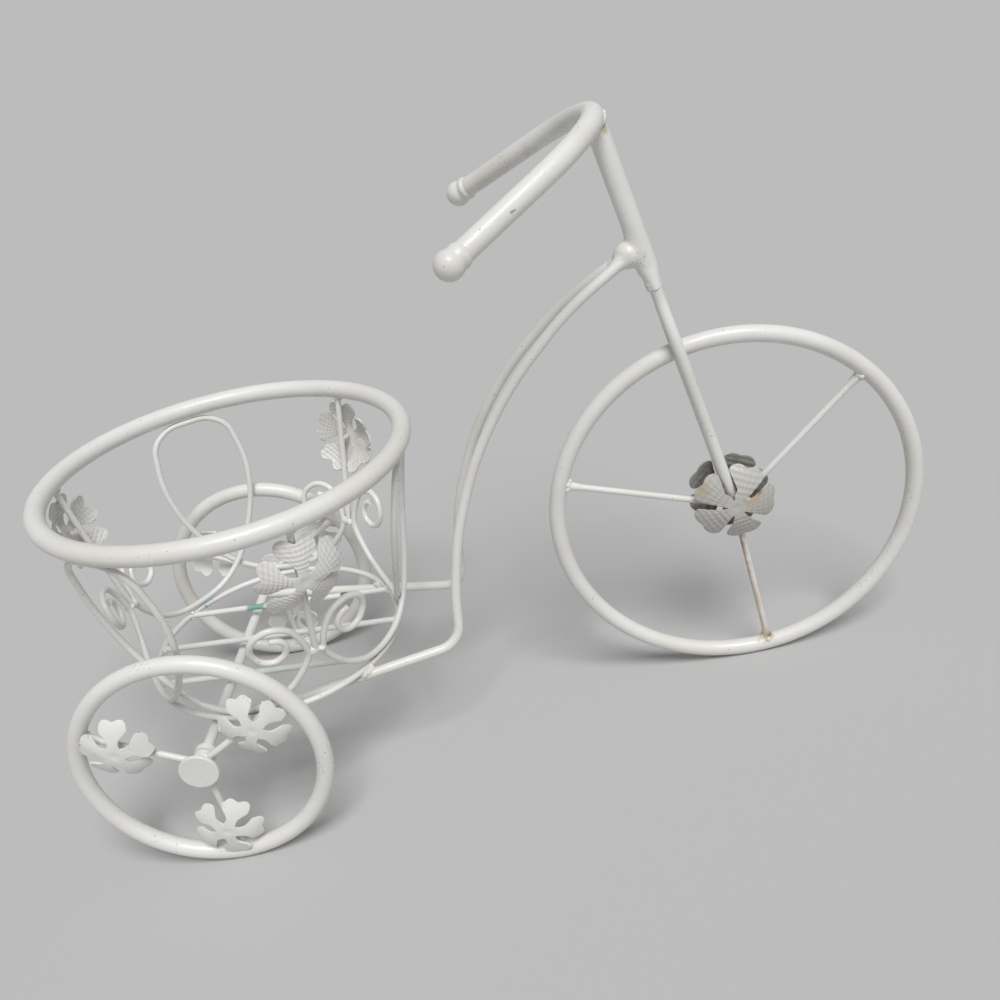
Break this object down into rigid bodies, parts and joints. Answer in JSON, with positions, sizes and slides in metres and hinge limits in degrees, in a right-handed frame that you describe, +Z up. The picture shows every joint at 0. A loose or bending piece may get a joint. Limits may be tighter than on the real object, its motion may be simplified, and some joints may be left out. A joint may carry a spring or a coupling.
{
  "type": "tricycle plant stand",
  "caption": "Small wire plant stand shaped like a tricycle: a leaning basket for a pot between the rear wheels, a large front wheel in a raked fork and a swept-back handlebar.",
  "frame": {"origin": "on the surface that the wheels stand on, at the middle of the stand's length and width", "axes": "+X forward, from the basket to the front wheel; +Y to the stand's left; +Z up"},
  "size_m": [0.361, 0.1566, 0.2488],
  "materials": {
    "rim_tube": "satin white paint on round tube, with small dark chips and specks",
    "handlebar_tube": "satin white paint on round tube, with small dark chips",
    "frame_rod": "satin white paint on bent round bar, a little aged",
    "basket_wire": "white paint over an older blue-green coat that shows through at the base",
    "spoke_wire": "white paint, rusty at the lower spoke and its welds",
    "stamped_flower": "satin white paint on stamped sheet with embossed ribs",
    "hub_fitting": "white paint with brown rust in the joints"
  },
  "bodies": {
    "frame": {"axle_collar_left": "hub_fitting", "axle_collar_right": "hub_fitting", "base_ring": "basket_wire", "basket_flower_left": "stamped_flower", "basket_flower_rear": "stamped_flower", "basket_flower_right": "stamped_flower", "basket_loop_front": "basket_wire", "basket_loop_left": "basket_wire", "basket_loop_right": "basket_wire", "basket_rim": "rim_tube", "basket_stem_left": "basket_wire", "basket_stem_rear": "basket_wire", "basket_stem_right": "basket_wire", "floor_bar_left": "basket_wire", "floor_bar_middle": "basket_wire", "floor_bar_right": "basket_wire", "fork_blade_left": "frame_rod", "fork_blade_right": "frame_rod", "frame_bar_left": "frame_rod", "frame_bar_right": "frame_rod", "frame_lug": "frame_rod", "front_axle_pin": "hub_fitting", "front_flower_left": "stamped_flower", "front_flower_right": "stamped_flower", "grip_knob_left": "handlebar_tube", "grip_knob_right": "handlebar_tube", "handlebar": "handlebar_tube", "head_tube": "handlebar_tube", "hub_cap_left": "hub_fitting", "hub_cap_right": "hub_fitting", "rear_axle": "frame_rod"},
    "front_wheel": {"front_wheel_hub_sleeve": "hub_fitting", "front_wheel_rim": "rim_tube", "front_wheel_spoke_lower": "spoke_wire", "front_wheel_spoke_rear": "spoke_wire", "front_wheel_spoke_upper": "spoke_wire"},
    "right_rear_wheel": {"rear_wheel_right_flower_lower": "stamped_flower", "rear_wheel_right_flower_rear": "stamped_flower", "rear_wheel_right_flower_upper": "stamped_flower", "rear_wheel_right_hub_sleeve": "hub_fitting", "rear_wheel_right_rim": "rim_tube", "rear_wheel_right_spoke_lower": "spoke_wire", "rear_wheel_right_spoke_rear": "spoke_wire", "rear_wheel_right_spoke_upper": "spoke_wire"},
    "left_rear_wheel": {"rear_wheel_left_flower_lower": "stamped_flower", "rear_wheel_left_flower_rear": "stamped_flower", "rear_wheel_left_flower_upper": "stamped_flower", "rear_wheel_left_hub_sleeve": "hub_fitting", "rear_wheel_left_rim": "rim_tube", "rear_wheel_left_spoke_lower": "spoke_wire", "rear_wheel_left_spoke_rear": "spoke_wire", "rear_wheel_left_spoke_upper": "spoke_wire"}
  },
  "joints": [
    {"name": "front_wheel_spin", "type": "hinge", "parent": "frame", "child": "front_wheel", "pos_m": [0.1015, 0, 0.079], "axis": [0, 1, 0], "continuous": true},
    {"name": "right_rear_wheel_spin", "type": "hinge", "parent": "frame", "child": "right_rear_wheel", "pos_m": [-0.1285, -0.0705, 0.052], "axis": [0, 1, 0], "continuous": true},
    {"name": "left_rear_wheel_spin", "type": "hinge", "parent": "frame", "child": "left_rear_wheel", "pos_m": [-0.1285, 0.0705, 0.052], "axis": [0, 1, 0], "continuous": true}
  ]
}
